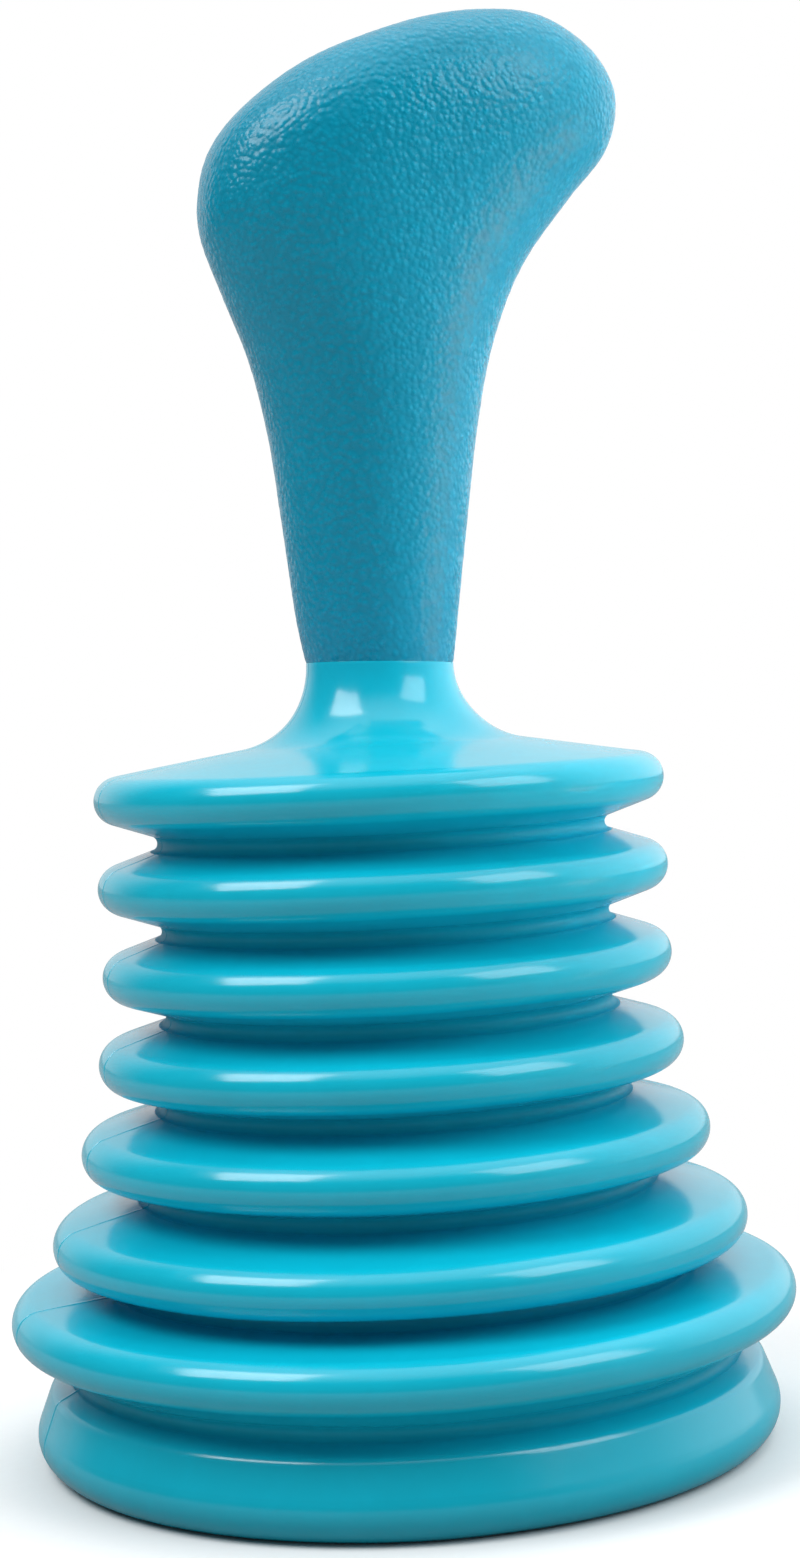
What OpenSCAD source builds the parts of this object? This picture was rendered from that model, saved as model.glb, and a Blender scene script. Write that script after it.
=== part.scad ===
// Bellows sink plunger: a blow-moulded cup and seven-fold bellows of one thin skin,
// with a hollow grip pushed over a spigot on the neck.
// The origin is the centre of the lip's resting face. +Z runs up the bellows and
// the nose of the grip points along +X.

/* [Folds] */
// Outer radius of the three upper folds
top_fold_r = 43.6; // [42:0.2:46]
// Outer radius of the lowest fold
base_fold_r = 60; // [58:0.5:62]
// How late the lower folds start to widen
widen_power = 1.85; // [1.6:0.05:2.2]
// Height between one fold and the next
pitch = 13.4; // [13:0.1:15]
// Height between the two lowest folds
base_pitch = 11.4; // [11:0.1:13]
// Height of the lowest fold's rim
base_fold_z = 21.8; // [21:0.1:24]
// Depth of each valley, from the rim of the fold above it
fold_depth = 9.3; // [8.5:0.1:10.5]
// Radius of a fold's rounded rim
rim_r = 3.7; // [3.4:0.1:3.9]
// Radius of the round bottom of a valley
valley_r = 1.2; // [0.9:0.1:1.3]
// Thickness of the moulded skin
wall = 1.5; // [1.1:0.1:1.8]

/* [Cup] */
// Outer radius of the cup just above its lip
cup_r = 56.9; // [56:0.1:58.5]
// Radius of the lip's inward curl
lip_r = 4.8; // [4.2:0.1:5.4]
// Width of the flat sealing land inside the curl
land_w = 3; // [2:0.5:5]
// Outer radius of the shoulder at the top of the cup
shoulder_outer_r = 55; // [54.6:0.1:56]
// Height of the centre of the shoulder's rounding
shoulder_z = 10.2; // [9.8:0.1:10.6]
// Radius of the shoulder's rounding
shoulder_r = 2; // [1.8:0.1:2.4]

/* [Neck] */
// Outer radius of the neck where the grip sits on it
neck_r = 11.3; // [10.6:0.1:12]
// Radius of the flare between the neck and the top plate
flare_r = 12.5; // [11:0.5:14]
// Height of the seat of the grip
grip_z = 119.3; // [118:0.1:121]
// Length of the spigot inside the grip
spigot_h = 12; // [8:1:14]
// Thickness of the spigot
spigot_wall = 1.6; // [1.2:0.1:2]
// Depth of the thick collar under the spigot
collar_h = 5; // [4:0.5:6]

/* [Grip] */
// Thickness of the grip's shell
grip_wall = 2; // [1.5:0.1:2.5]
// Flats round the grip's outside
grip_sides = 28; // [24:4:36]

/* [Hidden] */
$fn = 96;
FOLDS = 7;
PLAIN_FOLDS = 3;

GLOSSY = [0.13, 0.66, 0.77];
GRAINED = [0.10, 0.56, 0.68];

// Straight stub that a fold keeps on each side of its rim, and the parting gap after it
STUB = 0.6;
GAP = 0.2;
// Distance that the cut for the inside of the skin runs on past a flank's end
CUT = 2;
// How far the cut for a rounded corner is drawn out past the corner's own point
CORNER_DRAW = 1.5;
// Width of the step round the spigot that the end of the grip sits on
SEAT = 1.6;
SPIGOT_R = neck_r - SEAT;

// Ribs of the grip, each a chord in the plane of symmetry: the x and z of its heel end,
// the x and z of its nose end, then half its depth. Heights are above the seat.
RIBS = [
    [-11.3, 0, 11.3, 0, 11.3],
    [-11.3, 7, 13.6, 7, 12],
    [-12.8, 22, 15.9, 22, 13.6],
    [-14.2, 35, 18.1, 35.5, 15],
    [-16.6, 46.5, 21.3, 48.3, 16.4],
    [-20, 56, 26.6, 60, 17.7],
    [-23, 65, 35.2, 70.2, 18.8],
    [-23.2, 71.5, 42, 77.6, 19.4],
    [-21, 78.8, 44.4, 85.5, 18.9],
    [-15.8, 85.2, 43.2, 91.6, 16.6],
    [-7, 91.9, 39.4, 96.2, 12.4],
    [4.5, 97, 33, 99.6, 7.4],
    [15, 99.9, 25.5, 100.6, 2.6]
];
STEPS_PER_RIB = 2;
// The cavity of the grip runs between these two places along the ribs
CAVITY_FROM = 1.3;
CAVITY_TO = 10.2;
CAVITY_SIDES = 20;

// --- The skin's outline -------------------------------------------------------
// The outer surface is a chain of circles joined by common tangents. A circle is
// [r, z, s]: s is its radius, positive where it bulges out and negative where the
// air is inside it.

function fold_r(i) = top_fold_r + (base_fold_r - top_fold_r)
    * pow(max(0, (i - PLAIN_FOLDS) / (FOLDS - PLAIN_FOLDS)), widen_power);
function fold_z(i) = i == FOLDS ? base_fold_z
    : base_fold_z + base_pitch + (FOLDS - 1 - i) * pitch;
function rim(i) = [fold_r(i) - rim_r, fold_z(i), rim_r];

// Valley between two rounds, placed so that its two flanks slope equally
function valley(above, below, r) = let(
        rise = above.y - below.y,
        reach = above.x + below.x - 2 * r,
        rounds = above.z + below.z + 2 * valley_r,
        slope = acos(rounds / norm([rise, reach])) - atan2(reach, rise))
    [r, below.y + (below.z + valley_r) / cos(slope) + (below.x - r) * tan(slope), -valley_r];

SHOULDER = [shoulder_outer_r - shoulder_r, shoulder_z, shoulder_r];
FLARE = [neck_r + flare_r, grip_z, -flare_r];
LIP = [cup_r - lip_r, lip_r, lip_r];

function below_fold(i) = i < FOLDS ? rim(i + 1) : SHOULDER;
function valley_below(i) = valley(rim(i), below_fold(i), fold_r(i) - fold_depth + valley_r);

// Flare, then each fold and the valley below it, then shoulder and lip
CHAIN = concat([FLARE],
               [for (i = [1:FOLDS], part = [0, 1]) part == 0 ? rim(i) : valley_below(i)],
               [SHOULDER, LIP]);
function rim_at(i) = 2 * i - 1;
function valley_at(i) = 2 * i;
SHOULDER_AT = 2 * FOLDS + 1;
LIP_AT = 2 * FOLDS + 2;

// Direction that the surface faces along the tangent from one circle to the next
function facing(a, b) = atan2(a.y - b.y, a.x - b.x)
    - acos((b.z - a.z) / norm([a.x - b.x, a.y - b.y]));
FACING = [for (j = [0:len(CHAIN) - 2]) facing(CHAIN[j], CHAIN[j + 1])];

// Point of the skin on a circle, some depth below its outer surface
function skin_point(c, angle, depth) = [c.x, c.y] + (c.z - depth) * [cos(angle), sin(angle)];

// Point on the flank before (side -1) or after (side 1) circle j, a length away from it
function flank_point(j, side, length, depth) = let(
        angle = FACING[side < 0 ? j - 1 : j],
        from = skin_point(CHAIN[j], angle, depth),
        to = skin_point(CHAIN[j + side], angle, depth))
    from + length * (to - from) / norm(to - from);
function flank_length(j) = let(a = FACING[j])
    norm(skin_point(CHAIN[j], a, 0) - skin_point(CHAIN[j + 1], a, 0));

// The face of the skin that is farther from the centre of circle j, as a depth
function far_depth(j) = CHAIN[j].z > 0 ? 0 : wall;

// Point where the flanks' far faces would meet if circle j didn't round them, drawn out
function apex(j, draw) = [CHAIN[j].x, CHAIN[j].y]
    + draw * (CHAIN[j].z - far_depth(j)) / cos((FACING[j] - FACING[j - 1]) / 2)
    * [cos((FACING[j] + FACING[j - 1]) / 2), sin((FACING[j] + FACING[j - 1]) / 2)];

// Full circle j out to one face of the skin
module disc(j, depth) translate([CHAIN[j].x, CHAIN[j].y]) circle(abs(CHAIN[j].z - depth));

// The part of it between two facings, out to the skin's far face
module sector(j, from, to) {
    reach = 2 * abs(CHAIN[j].z - far_depth(j)) * sign(CHAIN[j].z);
    fan = [for (t = [0:0.25:1]) from + (to - from) * t];
    intersection() {
        disc(j, far_depth(j));
        translate([CHAIN[j].x, CHAIN[j].y])
            polygon(concat([[0, 0]], [for (a = fan) reach * [cos(a), sin(a)]]));
    }
}

// Skin round circle j and along a length of the flank on each side of it: a pointed
// outline, less its corner outside the circle, less the hollow behind its near face
module skin(j, before, after) {
    far = far_depth(j);
    near = wall - far;
    difference() {
        polygon([apex(j, 1), flank_point(j, -1, before, far), flank_point(j, -1, before, near),
                 flank_point(j, 1, after, near), flank_point(j, 1, after, far)]);
        difference() {
            polygon([[CHAIN[j].x, CHAIN[j].y], flank_point(j, -1, 0, far),
                     apex(j, CORNER_DRAW), flank_point(j, 1, 0, far)]);
            disc(j, far);
        }
        disc(j, near);
        polygon([flank_point(j, -1, 0, near), flank_point(j, -1, before + CUT, near),
                 flank_point(j, 1, after + CUT, near), flank_point(j, 1, 0, near)]);
    }
}

// --- Folds and webs -----------------------------------------------------------

// Stiff rounded rim of fold i
module fold(i) color(GLOSSY) rotate_extrude()
    skin(rim_at(i), STUB, STUB);

// Outline of the thin skin that folds below fold i: two flanks and the valley's bottom
module web_outline(i) {
    j = valley_at(i);
    skin(j, flank_length(j - 1) - STUB - GAP, flank_length(j) - STUB - GAP);
}

// Band that clears away all of it that lies in the one pitch above a height
module band(z) translate([0, z]) square([base_fold_r, pitch]);

// The skin parts again at the level of the valley's centre, where it bends
module web_upper(i) color(GLOSSY) rotate_extrude() difference() {
    web_outline(i);
    band(CHAIN[valley_at(i)].y + GAP / 2 - pitch);
}

module web_lower(i) color(GLOSSY) rotate_extrude() difference() {
    web_outline(i);
    band(CHAIN[valley_at(i)].y - GAP / 2);
}

// --- Cup ----------------------------------------------------------------------

module cup() color(GLOSSY) rotate_extrude()
    skin(SHOULDER_AT, STUB, flank_length(SHOULDER_AT));

// Soft edge that curls in under the cup and ends in a flat land
module lip() color(GLOSSY) rotate_extrude() {
    difference() {
        sector(LIP_AT, FACING[LIP_AT - 1], -90);
        disc(LIP_AT, wall);
    }
    translate([LIP.x - land_w, 0]) square([land_w, wall]);
    translate([LIP.x - land_w, wall / 2]) circle(wall / 2);
}

// --- Neck and top plate -------------------------------------------------------

// Flare with a thick collar and the spigot that holds the grip
module neck() color(GLOSSY) rotate_extrude() {
    spigot_bore_r = SPIGOT_R - spigot_wall;
    difference() {
        sector(0, 0, FACING[0]);
        disc(0, 0);
    }
    translate([spigot_bore_r, grip_z - collar_h]) square([neck_r - spigot_bore_r, collar_h]);
    translate([spigot_bore_r, grip_z - collar_h]) square([spigot_wall, collar_h + spigot_h]);
}

module top_plate() color(GLOSSY) rotate_extrude()
    polygon([flank_point(1, -1, flank_length(0), 0), flank_point(1, -1, STUB, 0),
             flank_point(1, -1, STUB, wall), flank_point(1, -1, flank_length(0), wall)]);

// --- Grip ---------------------------------------------------------------------

// Smooth curve through four values, between the second and the third
function curve(p, q, r, s, t) = q + 0.5 * t * (r - p
    + t * (2 * p - 5 * q + 4 * r - s + t * (3 * (q - r) + s - p)));
function rib_near(k) = RIBS[max(0, min(len(RIBS) - 1, k))];
function rib(u) = let(k = min(floor(u), len(RIBS) - 2))
    [for (n = [0:4]) curve(rib_near(k - 1)[n], rib_near(k)[n],
                           rib_near(k + 1)[n], rib_near(k + 2)[n], u - k)];

// Ring of points round rib u, drawn in by an inset
function ring(u, inset, sides) = let(
        b = rib(u),
        half = [b[2] - b[0], b[3] - b[1]] / 2,
        mid = [b[2] + b[0], b[3] + b[1]] / 2,
        keep = (norm(half) - inset) / norm(half))
    [for (k = [0:sides - 1]) let(a = 360 * k / sides)
        [mid.x + keep * half.x * cos(a), (b[4] - inset) * sin(a),
         grip_z + mid.y + keep * half.y * cos(a)]];

// Closed solid through the rings from place u0 to u1 along the ribs
module loft(u0, u1, inset, sides) {
    rings = ceil((u1 - u0) * STEPS_PER_RIB);
    points = [for (m = [0:rings]) each ring(u0 + (u1 - u0) * m / rings, inset, sides)];
    walls = [for (m = [0:rings - 1], k = [0:sides - 1]) let(n = (k + 1) % sides)
        each [[m * sides + k, (m + 1) * sides + n, m * sides + n],
              [m * sides + k, (m + 1) * sides + k, (m + 1) * sides + n]]];
    bottom = [for (k = [0:sides - 1]) k];
    top = [for (k = [sides - 1:-1:0]) rings * sides + k];
    polyhedron(points, concat(walls, [bottom, top]));
}

// Hollow grained shell, open at the bottom where it takes the spigot
module grip() color(GRAINED) difference() {
    loft(0, len(RIBS) - 1, 0, grip_sides);
    loft(CAVITY_FROM, CAVITY_TO, grip_wall, CAVITY_SIDES);
    translate([0, 0, grip_z - 1]) cylinder(r = SPIGOT_R, h = spigot_h + 1);
}

grip();
neck();
top_plate();
fold(1);  // fold_1
fold(2);  // fold_2
fold(3);  // fold_3
fold(4);  // fold_4
fold(5);  // fold_5
fold(6);  // fold_6
fold(7);  // fold_7
web_upper(1);  // web_1_upper
web_lower(1);  // web_1_lower
web_upper(2);  // web_2_upper
web_lower(2);  // web_2_lower
web_upper(3);  // web_3_upper
web_lower(3);  // web_3_lower
web_upper(4);  // web_4_upper
web_lower(4);  // web_4_lower
web_upper(5);  // web_5_upper
web_lower(5);  // web_5_lower
web_upper(6);  // web_6_upper
web_lower(6);  // web_6_lower
web_upper(7);  // web_7_upper
web_lower(7);  // web_7_lower
cup();
lip();
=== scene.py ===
"""Looks of a bellows sink plunger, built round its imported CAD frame. All lengths in metres."""

import math

import bpy
import numpy as np
from mathutils import Matrix, Vector


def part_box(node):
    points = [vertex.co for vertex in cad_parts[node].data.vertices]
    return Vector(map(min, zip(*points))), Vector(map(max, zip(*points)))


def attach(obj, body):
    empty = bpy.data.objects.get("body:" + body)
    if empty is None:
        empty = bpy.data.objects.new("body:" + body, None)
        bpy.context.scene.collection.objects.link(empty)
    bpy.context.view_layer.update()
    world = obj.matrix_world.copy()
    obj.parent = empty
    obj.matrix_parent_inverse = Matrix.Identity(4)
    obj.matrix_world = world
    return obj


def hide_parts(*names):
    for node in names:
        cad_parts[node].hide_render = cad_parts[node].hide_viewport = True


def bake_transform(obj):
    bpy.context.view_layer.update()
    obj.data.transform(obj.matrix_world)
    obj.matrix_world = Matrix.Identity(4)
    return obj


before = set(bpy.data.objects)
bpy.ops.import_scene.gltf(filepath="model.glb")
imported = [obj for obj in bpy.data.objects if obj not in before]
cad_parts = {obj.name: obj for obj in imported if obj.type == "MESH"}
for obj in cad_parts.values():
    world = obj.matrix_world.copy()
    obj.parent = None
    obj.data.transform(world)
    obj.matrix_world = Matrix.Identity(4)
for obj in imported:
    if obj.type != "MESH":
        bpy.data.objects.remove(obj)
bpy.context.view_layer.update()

MM = 0.001
FOLDS = 7

# --- The skin's outline, from the CAD nodes' boxes ------------------------------
# A circle is (radius from the axis, height, bulge): bulge is the circle's radius,
# negative where the air is inside it. The outer skin is their chain of tangents.

WALL = 1.5 * MM
NECK_R = 11.3 * MM
FLARE_R = 12.5 * MM
RIM_R = 3.7 * MM
ROOT_R = 1.2 * MM
ROOT_INSET = 8.1 * MM  # from a fold's edge to the middle of the valley's round bottom
SHOULDER_R = 2.0 * MM
SHOULDER_OUTER = 55.0 * MM
SHOULDER_Z = 10.2 * MM
LIP_R = 4.8 * MM
LAND_W = 3.0 * MM
STUB = 0.7 * MM  # flat skin that belongs to a crown, past its round edge
ROOT_MARGIN = 0.3 * MM  # flat skin that belongs to a valley's bottom or to the lip
SEAT_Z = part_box("grip")[0].z


def fold_body(k):
    """Body that fold k rides on: the cup stands below the last one, the handle has the first."""
    if k > FOLDS:
        return "cup"
    return "handle" if k == 1 else f"fold_{k}"


def make_chain():
    """The circles from the neck's flare, over each fold and valley, down to the lip."""
    chain = [(NECK_R + FLARE_R, SEAT_Z, -FLARE_R)]
    for k in range(1, FOLDS + 1):
        lo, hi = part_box(f"fold_{k}")
        chain.append((hi.x - RIM_R, (lo.z + hi.z) / 2, RIM_R))
        root_z = (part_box(f"web_{k}_upper")[0].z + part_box(f"web_{k}_lower")[1].z) / 2
        chain.append((hi.x - ROOT_INSET, root_z, -ROOT_R))
    chain.append((SHOULDER_OUTER - SHOULDER_R, SHOULDER_Z, SHOULDER_R))
    chain.append((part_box("lip")[1].x - LIP_R, LIP_R, LIP_R))
    return chain


CHAIN = make_chain()
SHOULDER_AT = 2 * FOLDS + 1
LIP_AT = 2 * FOLDS + 2


def facing(a, b):
    """Direction that the tangent between two circles faces, as an angle above level."""
    reach, rise = a[0] - b[0], a[1] - b[1]
    return math.atan2(rise, reach) - math.acos((b[2] - a[2]) / math.hypot(reach, rise))


FACING = [facing(a, b) for a, b in zip(CHAIN, CHAIN[1:])]


SAME_PLACE = 0.02 * MM


class Path:
    """Stations along the outer skin: radius, height and facing."""

    def __init__(self):
        self.rows = []

    def arc(self, circle, a, b, steps):
        """Round a circle, between two facings."""
        r, z, s = circle
        for t in np.linspace(0, 1, steps + 1):
            f = a + (b - a) * t
            self.rows.append((r + s * math.cos(f), z + s * math.sin(f), f))
        return self

    def flat(self, j, t0, t1, steps):
        """Along the tangent after circle j, between two lengths from that circle."""
        f = FACING[j]
        p, q = tangent_ends(j)
        unit = (q - p) / np.linalg.norm(q - p)
        for t in np.linspace(t0, t1, steps + 1):
            self.rows.append((*(p + unit * t), f))
        return self

    def done(self):
        """The rows without repeated stations."""
        kept = [self.rows[0]]
        for row in self.rows[1:]:
            if math.hypot(row[0] - kept[-1][0], row[1] - kept[-1][1]) > SAME_PLACE:
                kept.append(row)
        return np.array(kept)


def tangent_ends(j):
    """Where the tangent after circle j leaves it, and where it meets the next circle."""
    f = FACING[j]
    return [np.array([r + s * math.cos(f), z + s * math.sin(f)]) for r, z, s in CHAIN[j:j + 2]]


def flank_length(j):
    p, q = tangent_ends(j)
    return math.hypot(*(p - q))


# --- Revolved closed skins ------------------------------------------------------

STEP_DEG = 1.25
# Across the mould's parting line: degrees from it, and the skin's lift there in mm
PARTING = {-0.62: 0.0, -0.30: 0.02, -0.13: -0.10, 0.0: -0.13,
           0.13: -0.10, 0.30: 0.02, 0.62: 0.0}


def make_columns():
    """Angles round the axis and the parting groove's depth there."""
    angles, groove = [], []
    for i in range(int(360 / STEP_DEG)):
        a = i * STEP_DEG
        if a in (0, 180):
            for offset, depth in PARTING.items():
                angles.append(a + offset)
                groove.append(depth * MM)
        else:
            angles.append(a)
            groove.append(0.0)
    return np.radians(angles), np.array(groove)


COLUMNS, GROOVE = make_columns()


def smooth(t):
    """0 to 1 with level ends."""
    t = np.clip(t, 0, 1)
    return t * t * (3 - 2 * t)


# The top of the neck stands off the axis, and its seat drops slightly towards the nose
NECK_SHIFT = 1.15 * MM
SHIFT_FROM = 38.0 * MM
SHIFT_TO = 15.0 * MM
SHIFT_ABOVE = 103.0 * MM
SEAT_TILT = math.tan(math.radians(2.7))
TILT_REACH = 9 * MM
SHIFT = np.array([NECK_SHIFT, 0, 0])


def tilt_seat(p):
    """Tilts the seat, and less of the skin the farther it is from it."""
    near = smooth(1 - np.abs(p[..., 2] - SEAT_Z) / TILT_REACH)
    p[..., 2] -= SEAT_TILT * p[..., 0] * near * (p[..., 2] > SEAT_Z - TILT_REACH)
    return p


WAVES = [(31, 17, 23, 0.3), (-19, 37, 11, 1.7), (43, -29, 7, 2.9), (13, 41, -37, 4.1),
         (-47, 5, 29, 5.3), (23, -13, 61, 0.9)]
WAVES_PER_METRE = 4.5
WAVE_HEIGHT = 0.045 * MM


def waviness(p):
    """Slow unevenness of a blown skin, about -1 to 1."""
    total = sum(np.sin(p @ (np.array(w[:3]) * WAVES_PER_METRE) + w[3]) for w in WAVES)
    return total / math.sqrt(len(WAVES))


def revolve(name, stations):
    """Closed surface from a closed loop of stations (r, z, facing, outer, share).
    Gives the object, and each vertex's share of the way along the piece."""
    r, z, f, outer, share = np.array(stations).T
    nc, ns = len(COLUMNS), len(r)
    dent = GROOVE[:, None] * outer[None, :]
    cos_f, sin_f = np.cos(f)[None, :], np.sin(f)[None, :]
    rr = r[None, :] + dent * cos_f
    zz = z[None, :] + dent * sin_f
    ca, sa = np.cos(COLUMNS)[:, None], np.sin(COLUMNS)[:, None]
    p = np.stack([rr * ca, rr * sa, zz + 0 * ca], -1)
    n = np.stack([cos_f * ca, cos_f * sa, sin_f + 0 * ca], -1)
    p = p + n * (waviness(p) * WAVE_HEIGHT)[..., None]
    p[..., 2] = np.maximum(p[..., 2], 0)
    lean = smooth((SHIFT_FROM - rr) / (SHIFT_FROM - SHIFT_TO)) * (zz > SHIFT_ABOVE)
    tilt_seat(p)
    p[..., 0] += NECK_SHIFT * lean
    i, j = np.meshgrid(np.arange(nc), np.arange(ns), indexing="ij")
    i2, j2 = (i + 1) % nc, (j + 1) % ns
    quads = np.stack([i * ns + j, i2 * ns + j, i2 * ns + j2, i * ns + j2], -1).reshape(-1, 4)
    points = p.reshape(-1, 3)
    if volume(points, quads) < 0:
        quads = quads[:, ::-1]
    return make_object(name, points, quads.tolist(), SKIN_SHARP), np.tile(share, nc)


def volume(points, quads):
    """Six times the volume inside a closed surface, negative where its faces look inwards."""
    tris = np.concatenate([quads[:, (0, 1, 2)], quads[:, (0, 2, 3)]])
    a, b, c = (points[tris[:, k]] for k in range(3))
    return np.einsum("ij,ij->i", a, np.cross(b, c)).sum()


SKIN_SHARP = math.radians(38)


def make_object(name, points, faces, sharp):
    """Smooth-shaded object whose edges stay sharp above an angle."""
    mesh = bpy.data.meshes.new(name)
    mesh.from_pydata([tuple(v) for v in points], [], faces)
    mesh.update()
    mesh.shade_smooth()
    mesh.set_sharp_from_angle(angle=sharp)
    obj = bpy.data.objects.new(name, mesh)
    bpy.context.scene.collection.objects.link(obj)
    return obj


def skin_loop(path, inner_every=1):
    """Closed loop of stations: the outer path, then the inner one back."""
    rows = path.done()
    steps = np.hypot(np.diff(rows[:, 0]), np.diff(rows[:, 1]))
    share = np.concatenate([[0], np.cumsum(steps)]) / steps.sum()
    outer = [(r, z, f, 1.0, s) for (r, z, f), s in zip(rows, share)]
    pick = [i for i in range(len(rows)) if i % inner_every == 0 or i == len(rows) - 1]
    inner = [(*inside(*rows[i]), 0.0, share[i]) for i in pick]
    return outer + inner[::-1]


def inside(r, z, f):
    """The station on the other side of the wall."""
    return r - WALL * math.cos(f), z - WALL * math.sin(f), f


def bend_round(obj):
    """Bakes the object's placement into its mesh."""
    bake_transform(obj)


# --- Materials --------------------------------------------------------------------


class Nodes:
    """Small helper that builds a node tree."""

    def __init__(self, material):
        material.use_nodes = True
        self.tree = material.node_tree
        self.tree.nodes.clear()

    def add(self, kind, inputs=None, **props):
        node = self.tree.nodes.new(kind)
        for key, value in props.items():
            setattr(node, key, value)
        for key, value in (inputs or {}).items():
            if isinstance(value, bpy.types.NodeSocket):
                self.tree.links.new(value, node.inputs[key])
            else:
                node.inputs[key].default_value = value
        return node

    def mix(self, factor, a, b):
        node = self.tree.nodes.new("ShaderNodeMix")
        node.data_type = "RGBA"
        sockets = {s.identifier: s for s in node.inputs}
        for key, value in (("Factor_Float", factor), ("A_Color", a), ("B_Color", b)):
            if isinstance(value, bpy.types.NodeSocket):
                self.tree.links.new(value, sockets[key])
            else:
                sockets[key].default_value = value
        return next(s for s in node.outputs if s.identifier == "Result_Color")

    def remap(self, value, a, b, c, d):
        node = self.add("ShaderNodeMapRange", {"Value": value, "From Min": a, "From Max": b,
                                               "To Min": c, "To Max": d})
        return node.outputs["Result"]


def moulded_plastic(name, deep, light, rough, shine=0.5, grain=None):
    """Coloured-through plastic. deep and light are the two ends of its slow colour drift."""
    material = bpy.data.materials.new(name)
    n = Nodes(material)
    where = n.add("ShaderNodeTexCoord").outputs["Object"]

    def noise(scale, detail, roughness, distortion=0.0):
        return n.add("ShaderNodeTexNoise", {"Vector": where, "Scale": scale, "Detail": detail,
                                            "Roughness": roughness,
                                            "Distortion": distortion}).outputs["Fac"]

    drift = noise(26.0, 3.0, 0.45)
    swirl = noise(90.0, 4.0, 0.6, distortion=1.2)
    colour = n.mix(n.remap(drift, 0.3, 0.7, 0.0, 1.0), (*deep, 1), (*light, 1))
    colour = n.mix(n.remap(swirl, 0.45, 0.8, 0.0, 0.16), colour, (*(c * 1.25 for c in light), 1))
    scuff = noise(420.0, 5.0, 0.65)
    roughness = n.remap(scuff, 0.3, 0.75, rough[0], rough[1])
    peel = noise(210.0, 2.0, 0.4)
    bump = n.add("ShaderNodeBump", {"Strength": 0.35, "Distance": 0.00006, "Height": peel})
    if grain:
        cells = n.add("ShaderNodeTexVoronoi", {"Vector": where, "Scale": grain["scale"],
                                               "Smoothness": 0.55, "Randomness": 1.0},
                      feature="SMOOTH_F1")
        dome = n.remap(cells.outputs["Distance"], 0.05, 0.75, 1.0, 0.0)
        bump = n.add("ShaderNodeBump", {"Strength": 1.0, "Distance": grain["height"],
                                        "Height": dome, "Normal": bump.outputs["Normal"]})
        # Painted shade: the pits between the pebbles are darkened, up to 0.30 of the way to a deeper
        # tone
        colour = n.mix(n.remap(dome, 0.15, 0.9, 0.30, 0.0), colour, (*(c * 0.55 for c in deep), 1))
    shader = n.add("ShaderNodeBsdfPrincipled", {
        "Base Color": colour, "Roughness": roughness, "Normal": bump.outputs["Normal"],
        "IOR": 1.5, "Specular IOR Level": shine, "Subsurface Weight": 0.05,
        "Subsurface Scale": 0.002, "Subsurface Radius": (0.35, 1.0, 1.0)})
    n.add("ShaderNodeOutputMaterial", {"Surface": shader.outputs["BSDF"]})
    return material


GLOSS = moulded_plastic("bellows_gloss_mat", (0.003, 0.480, 0.645), (0.003, 0.520, 0.700),
                        (0.13, 0.21), shine=0.6)
# Nothing rubs the bottoms of the valleys, so they stay duller; their colour is also a touch darker,
# painted shade in the creases
VALLEY_SHADED = moulded_plastic("bellows_valley_shaded_mat", (0.003, 0.460, 0.620), (0.003, 0.500, 0.680),
                         (0.42, 0.55), shine=0.2)
EDGE = moulded_plastic("lip_gloss_mat", (0.003, 0.460, 0.620), (0.003, 0.505, 0.680),
                       (0.16, 0.26))
GRAINED = moulded_plastic("grip_grained_mat", (0.0, 0.293, 0.452), (0.0, 0.336, 0.511),
                          (0.22, 0.33), shine=0.35,
                          grain={"scale": 1150.0, "height": 0.12 * MM})


def finish_piece(obj, material, slot, *nodes):
    """Gives a piece its material and hides the CAD nodes that it stands for. slot is not used."""
    obj.data.materials.append(material)
    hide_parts(*nodes)
    return obj


# --- Bellows ----------------------------------------------------------------------


def make_crown(k):
    """Round edge of fold k."""
    j = 2 * k - 1
    path = Path()
    path.flat(j - 1, flank_length(j - 1) - STUB, flank_length(j - 1), 1)
    path.arc(CHAIN[j], FACING[j - 1], FACING[j], 26)
    path.flat(j, 0, STUB, 1)
    obj, _ = revolve(f"fold_{k}_crown", skin_loop(path, inner_every=2))
    finish_piece(obj, GLOSS, "bellows_gloss", f"fold_{k}")
    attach(obj, fold_body(k))


def make_web(k):
    """Valley under fold k: its upper flank, round bottom and lower flank."""
    j = 2 * k
    upper, lower = f"web_{k}_upper", f"web_{k}_lower"
    end = flank_length(j - 1) - ROOT_MARGIN
    obj, share = revolve(f"web_{k}_upper_flank", skin_loop(Path().flat(j - 1, STUB, end, 9)))
    finish_piece(obj, GLOSS, "bellows_gloss", upper)
    bend_round(obj)
    root = Path()
    root.flat(j - 1, end, end + ROOT_MARGIN, 1)
    root.arc(CHAIN[j], FACING[j - 1], FACING[j], 12)
    root.flat(j, 0, ROOT_MARGIN, 1)
    obj, _ = revolve(f"web_{k}_root", skin_loop(root))
    finish_piece(obj, VALLEY_SHADED, "bellows_gloss", upper, lower)
    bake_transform(obj)
    end = flank_length(j) - STUB
    obj, share = revolve(f"web_{k}_lower_flank", skin_loop(Path().flat(j, ROOT_MARGIN, end, 9)))
    finish_piece(obj, GLOSS, "bellows_gloss", lower)
    bend_round(obj)


for fold in range(1, FOLDS + 1):
    make_crown(fold)
    make_web(fold)

# --- Cup and lip --------------------------------------------------------------------

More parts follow.
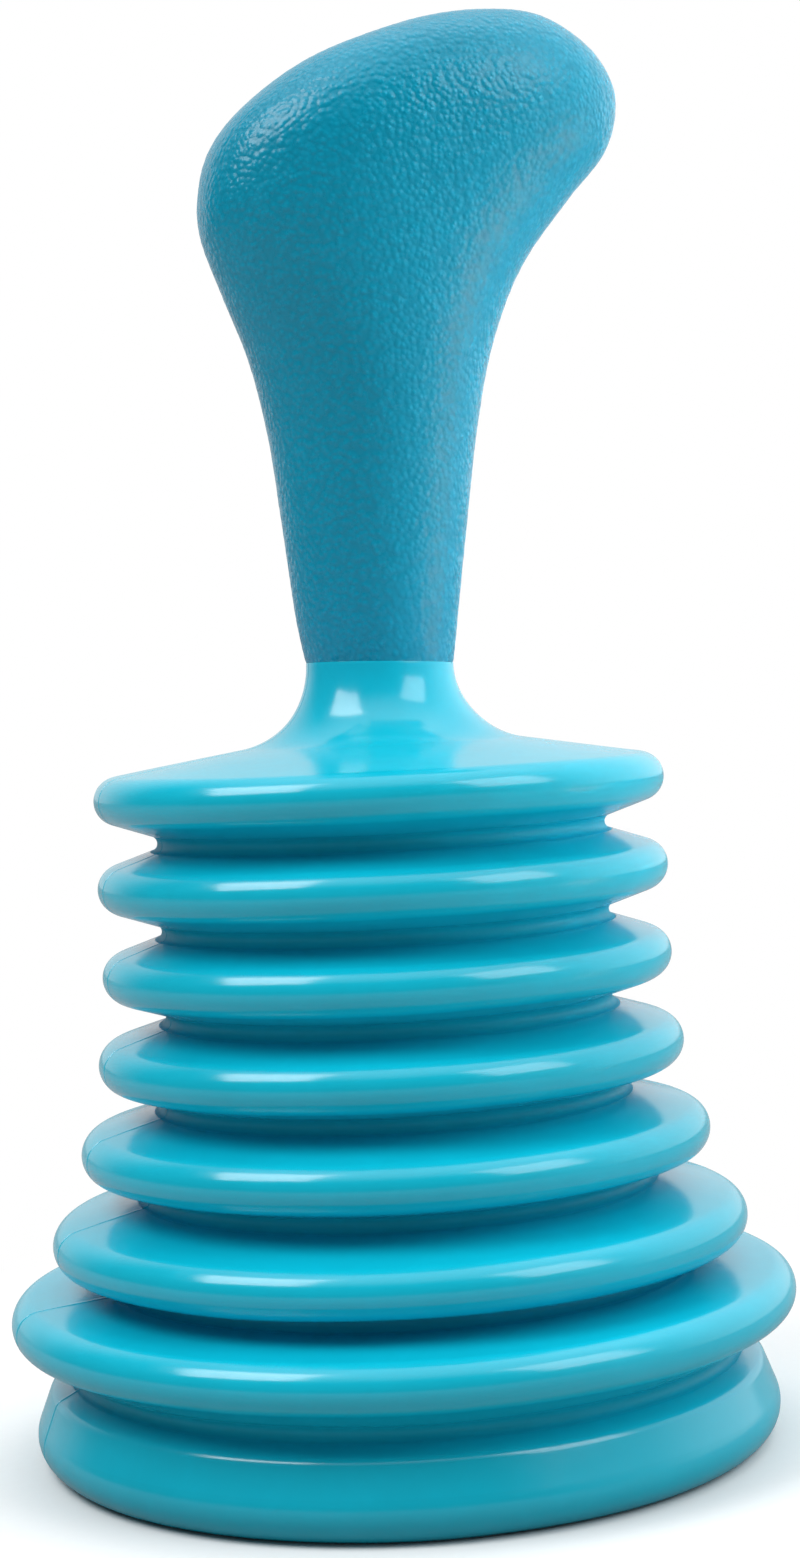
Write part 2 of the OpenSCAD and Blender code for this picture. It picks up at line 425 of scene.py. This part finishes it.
top_end = flank_length(SHOULDER_AT - 1)
side_end = flank_length(SHOULDER_AT)
cup_path = Path()
cup_path.flat(SHOULDER_AT - 1, top_end - STUB, top_end, 1)
cup_path.arc(CHAIN[SHOULDER_AT], FACING[SHOULDER_AT - 1], FACING[SHOULDER_AT], 10)
cup_path.flat(SHOULDER_AT, 0, side_end - ROOT_MARGIN, 12)
cup_skin, _ = revolve("cup_skin", skin_loop(cup_path))
finish_piece(cup_skin, GLOSS, "bellows_gloss", "cup")
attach(cup_skin, "cup")

lip_path = Path()
lip_path.flat(SHOULDER_AT, side_end - ROOT_MARGIN, side_end, 1)
lip_path.arc(CHAIN[LIP_AT], FACING[SHOULDER_AT], -math.pi / 2, 22)
lip_loop = skin_loop(lip_path)
# The flat land that it stands on, with a round inner edge
land_end = CHAIN[LIP_AT][0] - LAND_W
half_wall = WALL / 2
turn = [(land_end - half_wall * math.cos(a), half_wall + half_wall * math.sin(a),
         math.pi - a, 0.0, 1.0) for a in np.radians(np.linspace(-90, 90, 9))]
half_way = len(lip_path.done())
lip_loop = lip_loop[:half_way] + turn + lip_loop[half_way:]
lip_edge, _ = revolve("lip_edge", lip_loop)
finish_piece(lip_edge, EDGE, "lip_gloss", "lip")
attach(lip_edge, "cup")

# --- Deck and neck --------------------------------------------------------------------

DECK_LAP = 0.6 * MM
deck, _ = revolve("deck", skin_loop(Path().flat(0, DECK_LAP, flank_length(0) - STUB, 30)))
finish_piece(deck, GLOSS, "bellows_gloss", "top_plate")
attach(deck, "handle")

SPIGOT_R = 9.65 * MM
SPIGOT_CHAMFER = 0.5 * MM
BORE_R = 8.1 * MM
SPIGOT_H = 12 * MM
COLLAR_H = 5 * MM
neck_path = Path()
neck_path.arc(CHAIN[0], math.radians(2), FACING[0], 34)
neck_path.flat(0, 0, DECK_LAP, 1)
neck_rows = neck_path.done()
# Rounded edge under the grip's seat, then the flare's outer side
neck_loop = [(NECK_R - 0.12 * MM, SEAT_Z, math.radians(75), 0.0, 0),
             (NECK_R - 0.03 * MM, SEAT_Z - 0.03 * MM, math.radians(45), 0.5, 0),
             (NECK_R, SEAT_Z - 0.12 * MM, 0, 1.0, 0)]
neck_loop += [(*row, 1.0, 0) for row in neck_rows]
# Its inner side, up to the collar
neck_loop.append((*inside(*neck_rows[-1]), 0, 0))
inner_r = FLARE_R + WALL
for a in np.linspace(FACING[0], math.asin(COLLAR_H / inner_r), 16):
    neck_loop.append((CHAIN[0][0] - inner_r * math.cos(a), SEAT_Z - inner_r * math.sin(a), a, 0, 0))
# The bore, the spigot's end and its outer side down to the seat
spigot_top = SEAT_Z + SPIGOT_H
neck_loop += [(BORE_R, SEAT_Z - COLLAR_H, 0, 0, 0), (BORE_R, spigot_top, 0, 0, 0),
              (SPIGOT_R - SPIGOT_CHAMFER, spigot_top, 0, 0, 0),
              (SPIGOT_R, spigot_top - SPIGOT_CHAMFER, 0, 0, 0), (SPIGOT_R, SEAT_Z, 0, 0, 0)]
neck_flare, _ = revolve("neck_flare", neck_loop)
finish_piece(neck_flare, GLOSS, "bellows_gloss", "neck")
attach(neck_flare, "handle")

# --- Grip -----------------------------------------------------------------------------
# Ribs: each a chord in the plane of symmetry, as the x and z of its heel end, the x and z
# of its nose end, then half its depth, in millimetres above the seat.

RIBS = np.array([
    [-10.15, 0, 12.45, 0, 11.3],
    [-11.3, 7, 13.6, 7, 12],
    [-12.8, 22, 15.9, 22, 13.6],
    [-14.2, 35, 18.1, 35.5, 15],
    [-16.6, 46.5, 21.3, 48.3, 16.4],
    [-20, 56, 26.6, 60, 17.7],
    [-23, 65, 34.6, 70.2, 18.8],
    [-23.1, 71.5, 40.8, 77.4, 19.4],
    [-20.9, 78.6, 42.7, 84.6, 19.7],
    [-15.6, 84.8, 41.0, 90.0, 18.8],
    [-6.6, 91.1, 37.0, 94.3, 16.3],
    [5.4, 95.8, 31.4, 97.6, 11.8],
    [15.0, 98.4, 25.2, 98.8, 5.6],
]) * MM
GRIP_COLUMNS = 312
GRIP_SPACING = 0.52 * MM
HEAD_RATIO = 1.5
SQUARER = 0.16
SQUARER_FROM, SQUARER_OVER = 4, 4  # in ribs
CAP = [(0.72, 0.16 * MM), (0.42, 0.26 * MM), (0.15, 0.30 * MM)]  # share of the last ring, rise
GRAIN_CELL = 1.3 * MM
GRAIN_H = 0.06 * MM
GRAIN_FROM = 0.8 * MM  # height above the seat where the grain is full
SEAM_AT = 30 * MM  # radius that turns an angle from the parting plane into a distance
SEAM_HALF, SEAM_FADE, SEAM_LIFT = 0.2 * MM, 0.5 * MM, 0.03 * MM
EDGE_H, EDGE_DROP = 0.3 * MM, 0.08 * MM
SOCKET_R = 9.7 * MM
SOCKET_H = 12.6 * MM
SOCKET_CHAMFER = 0.3 * MM
GRIP_SHARP = math.radians(50)


def rib(u):
    """Catmull-Rom through the ribs."""
    k = min(int(u), len(RIBS) - 2)
    p, q, r, s = (RIBS[min(max(k + d, 0), len(RIBS) - 1)] for d in (-1, 0, 1, 2))
    t = u - k
    return q + 0.5 * t * (r - p + t * (2 * p - 5 * q + 4 * r - s + t * (3 * (q - r) + s - p)))


def even_angles(count, ratio):
    """Angles whose points are evenly spaced round an ellipse of that ratio."""
    a = np.linspace(0, 2 * math.pi, 4001)
    steps = np.hypot(np.diff(ratio * np.cos(a)), np.diff(np.sin(a)))
    length = np.concatenate([[0], np.cumsum(steps)])
    return np.interp(np.arange(count) / count * length[-1], length, a)


def grip_ring(u, angles):
    """Ring of the grip, an ellipse that grows squarer towards the head."""
    b = rib(u)
    half = (b[2:4] - b[0:2]) / 2
    mid = (b[2:4] + b[0:2]) / 2
    power = 1 - SQUARER * float(smooth((u - SQUARER_FROM) / SQUARER_OVER))
    c, s = (np.sign(t) * np.abs(t) ** power for t in (np.cos(angles), np.sin(angles)))
    return np.stack([mid[0] + half[0] * c, b[4] * s, SEAT_Z + mid[1] + half[1] * c], -1)


def cell_hash(c, salt):
    """Fixed scatter of whole-number cells, 0 to 1."""
    v = (c[..., 0] * 73856093) ^ (c[..., 1] * 19349663) ^ (c[..., 2] * 83492791)
    v = v ^ (salt * 2654435761)
    v = (v ^ (v >> 13)) * 1274126177
    v = v ^ (v >> 16)
    return (v & 0xFFFF) / 65535.0


def pebbles(p, cell):
    """Soft domes at scattered points, about 0 to 1."""
    q = p / cell
    base = np.floor(q).astype(np.int64)
    total = np.zeros(len(p))
    for dx in (-1, 0, 1):
        for dy in (-1, 0, 1):
            for dz in (-1, 0, 1):
                c = base + np.array([dx, dy, dz])
                feature = c + np.stack([cell_hash(c, s) for s in (1, 2, 3)], -1)
                total = np.maximum(total, np.exp(-4.0 * ((q - feature) ** 2).sum(-1)))
    return total


def grip_rings(angles):
    """Evenly spaced rings from the seat to the top, with a flat cap's rings after them."""
    fine = np.linspace(0, len(RIBS) - 1, 1500)
    rings = np.array([grip_ring(u, angles[::8]) for u in fine])
    step = np.linalg.norm(np.diff(rings, axis=0), axis=-1).max(1)
    length = np.concatenate([[0], np.cumsum(step)])
    count = int(length[-1] / GRIP_SPACING)
    places = np.interp(np.linspace(0, length[-1], count), length, fine)
    body = np.array([grip_ring(u, angles) for u in places])
    top = body[-1]
    centre = top.mean(0)
    cap = [centre + (top - centre) * size + np.array([0, 0, rise]) for size, rise in CAP]
    return np.concatenate([body, np.array(cap)])


def grip_lift(grid, angles):
    """How far the grain, the parting line and the eased edge at the seat lift the surface."""
    grain = pebbles(grid.reshape(-1, 3), GRAIN_CELL).reshape(grid.shape[:2])
    height = grid[..., 2] - SEAT_Z
    seam = np.minimum(np.abs(angles), np.minimum(np.abs(angles - math.pi), 2 * math.pi - angles))
    clear = smooth((seam * SEAM_AT - SEAM_HALF) / SEAM_FADE)[None, :]
    lift = GRAIN_H * (grain - 0.5) * clear + SEAM_LIFT * (1 - clear)
    edge = np.clip(1 - height / EDGE_H, 0, 1)
    return lift * smooth(height / GRAIN_FROM) - EDGE_DROP * edge ** 2


def make_grip():
    """The grained grip, with the socket that the neck's spigot fills."""
    angles = even_angles(GRIP_COLUMNS, HEAD_RATIO)
    grid = grip_rings(angles)
    grid = tilt_seat(grid + grid_normals(grid) * grip_lift(grid, angles)[..., None]
                     - SHIFT) + SHIFT
    rings = list(grid)
    outside = len(rings)
    around = np.arctan2(*(grid[0] - SHIFT).T[1::-1])
    for r, h in ((SOCKET_R + SOCKET_CHAMFER, 0.0), (SOCKET_R, SOCKET_CHAMFER),
                 (SOCKET_R, SOCKET_H)):
        level = np.full(GRIP_COLUMNS, SEAT_Z + h)
        rings.append(tilt_seat(np.stack([r * np.cos(around), r * np.sin(around), level], -1)) + SHIFT)
    n = GRIP_COLUMNS
    pole, hub = len(rings) * n, len(rings) * n + 1
    points = np.concatenate(rings + [[grid[-1].mean(0)], [SHIFT + (0, 0, SEAT_Z + SOCKET_H)]])
    columns = [(k, (k + 1) % n) for k in range(n)]
    faces = []
    for a in range(outside - 1):
        faces += [(a * n + k, a * n + k2, (a + 1) * n + k2, (a + 1) * n + k) for k, k2 in columns]
    top = (outside - 1) * n
    faces += [(top + k, top + k2, pole) for k, k2 in columns]
    # The underside, then down the socket: from the first ring to the ones after the last
    starts = [0] + [i * n for i in range(outside, len(rings))]
    for a, b in zip(starts, starts[1:]):
        faces += [(a + k2, a + k, b + k, b + k2) for k, k2 in columns]
    faces += [(starts[-1] + k2, starts[-1] + k, hub) for k, k2 in columns]
    return make_object("grip_shell", points, faces, GRIP_SHARP)


def grid_normals(grid):
    """Outward normals of a grid of rings."""
    along = np.gradient(grid, axis=0)
    around = np.roll(grid, -1, 1) - np.roll(grid, 1, 1)
    n = np.cross(around, along)
    size = np.linalg.norm(n, axis=-1, keepdims=True)
    return n / np.maximum(size, 1e-12)


grip_shell = make_grip()
finish_piece(grip_shell, GRAINED, "grip_grained", "grip")
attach(grip_shell, "handle")

# --- Floor, light and camera ------------------------------------------------------------

VIEW_YAW = math.radians(17)


def from_camera(azimuth, elevation, distance, target):
    """Point at a direction from target, azimuth to the right of the camera's side."""
    a, e = math.radians(azimuth), math.radians(elevation)
    x, y, z = math.sin(a) * math.cos(e), -math.cos(a) * math.cos(e), math.sin(e)
    c, s = math.cos(VIEW_YAW), math.sin(VIEW_YAW)
    return Vector((x * c + y * s, -x * s + y * c, z)) * distance + Vector(target)


ALL_ROUND = 180


def softbox(name, azimuth, elevation, size, power, turn=0.0,
            distance=0.85, height=0.11, spread=ALL_ROUND):
    """Square lamp that looks at the axis at a height. One whose light is kept within a narrow
    cone only fills in, so nothing glossy shows it."""
    target = (0, 0, height)
    light = bpy.data.lights.new(name, "AREA")
    light.shape = "SQUARE"
    light.size = size
    light.energy = power
    light.spread = math.radians(spread)
    lamp = bpy.data.objects.new(name, light)
    lamp.location = from_camera(azimuth, elevation, distance, target)
    turn_to = (lamp.location - Vector(target)).to_track_quat("Z", "Y").to_matrix().to_4x4()
    lamp.rotation_euler = (turn_to @ Matrix.Rotation(math.radians(turn), 4, "Z")).to_euler()
    lamp.visible_glossy = spread == ALL_ROUND
    bpy.context.scene.collection.objects.link(lamp)


softbox("softbox_left", -64, 49, 0.48, 4.3, turn=28)
softbox("softbox_right", 57, 35, 0.47, 2.4)
softbox("softbox_low", 88, -15, 0.14, 0.058, distance=0.42, height=0.182, spread=28)

# A dim room with soft glows: azimuth and elevation of the middle, the cosines of the
# angles from it where the glow begins and is full, and its strength
ROOM = 0.09
GLOWS = [(160, 0, 0.0, 0.6, 0.70), (105, 15, 0.20, 0.97, 0.50), (0, 86, 0.66, 1.0, 1.35)]
world = bpy.data.worlds.new("studio")
bpy.context.scene.world = world
wn = Nodes(world)
direction = wn.add("ShaderNodeTexCoord").outputs["Generated"]
room = ROOM
for azimuth, elevation, begins, full, strength in GLOWS:
    middle = from_camera(azimuth, elevation, 1, (0, 0, 0))
    nearness = wn.add("ShaderNodeVectorMath", {0: direction, 1: middle},
                      operation="DOT_PRODUCT").outputs["Value"]
    glow = wn.add("ShaderNodeMapRange", {"Value": nearness, "From Min": begins,
                                         "From Max": full, "To Min": 0.0, "To Max": strength},
                  interpolation_type="SMOOTHSTEP")
    room = wn.add("ShaderNodeMath", {0: room, 1: glow.outputs["Result"]}).outputs[0]
seen = wn.add("ShaderNodeLightPath").outputs["Is Camera Ray"]
level = wn.add("ShaderNodeMix", {0: seen, 2: room, 3: 1.0})
background = wn.add("ShaderNodeBackground", {"Color": (1, 1, 1, 1), "Strength": level.outputs[0]})
wn.add("ShaderNodeOutputWorld", {"Surface": background.outputs["Background"]})

FLOOR_R = 12
FLOOR_TONE = 0.42  # as it lights and is reflected, darker than it looks
BURNT_FROM, BURNT_TO = 0.07, 0.16
floor_mesh = bpy.data.meshes.new("floor")
edge = [(FLOOR_R * math.cos(a), FLOOR_R * math.sin(a), 0)
        for a in np.linspace(0, 2 * math.pi, 97)[:-1]]
floor_mesh.from_pydata(edge, [], [tuple(range(len(edge)))])
floor = bpy.data.objects.new("floor", floor_mesh)
bpy.context.scene.collection.objects.link(floor)
paper = bpy.data.materials.new("paper_sweep")
pn = Nodes(paper)
place = pn.add("ShaderNodeTexCoord").outputs["Object"]
fibre = pn.add("ShaderNodeTexNoise", {"Vector": place, "Scale": 600.0,
                                      "Detail": 3.0}).outputs["Fac"]
tone = pn.mix(fibre, (0.93, 0.93, 0.93, 1), (0.96, 0.96, 0.96, 1))
away = pn.add("ShaderNodeVectorMath", {0: place}, operation="LENGTH").outputs["Value"]
in_view = pn.add("ShaderNodeLightPath").outputs["Is Camera Ray"]
tone = pn.mix(in_view, (FLOOR_TONE, FLOOR_TONE, FLOOR_TONE, 1), tone)
sheet = pn.add("ShaderNodeBsdfPrincipled", {"Base Color": tone, "Roughness": 0.9,
                                            "Specular IOR Level": 0.1}).outputs["BSDF"]
# The sweep is burnt out in the picture, but away from the object it lights it no more
burnt = pn.add("ShaderNodeEmission", {"Color": (1, 1, 1, 1), "Strength": 1.0}).outputs["Emission"]
far = pn.remap(away, BURNT_FROM, BURNT_TO, 0.0, 1.0)
share = pn.add("ShaderNodeMath", {0: in_view, 1: far}, operation="MULTIPLY").outputs[0]
top = pn.add("ShaderNodeMixShader", {0: share, 1: sheet, 2: burnt}).outputs[0]
pn.add("ShaderNodeOutputMaterial", {"Surface": top})
floor_mesh.materials.append(paper)

PITCH = 0.0322
ROLL = math.radians(-2.85)
camera_data = bpy.data.cameras.new("camera")
camera_data.sensor_width = 36
camera_data.lens = 62.4
camera = bpy.data.objects.new("camera", camera_data)
camera.location = (-0.1179, -0.3971, 0.1147)
sight = Vector((math.sin(VIEW_YAW) * math.cos(PITCH), math.cos(VIEW_YAW) * math.cos(PITCH),
                -math.sin(PITCH)))
aim = (-sight).to_track_quat("Z", "Y").to_matrix().to_4x4()
camera.rotation_euler = (aim @ Matrix.Rotation(ROLL, 4, "Z")).to_euler()
bpy.context.scene.collection.objects.link(camera)
bpy.context.scene.camera = camera
bpy.context.scene.view_settings.view_transform = "Standard"
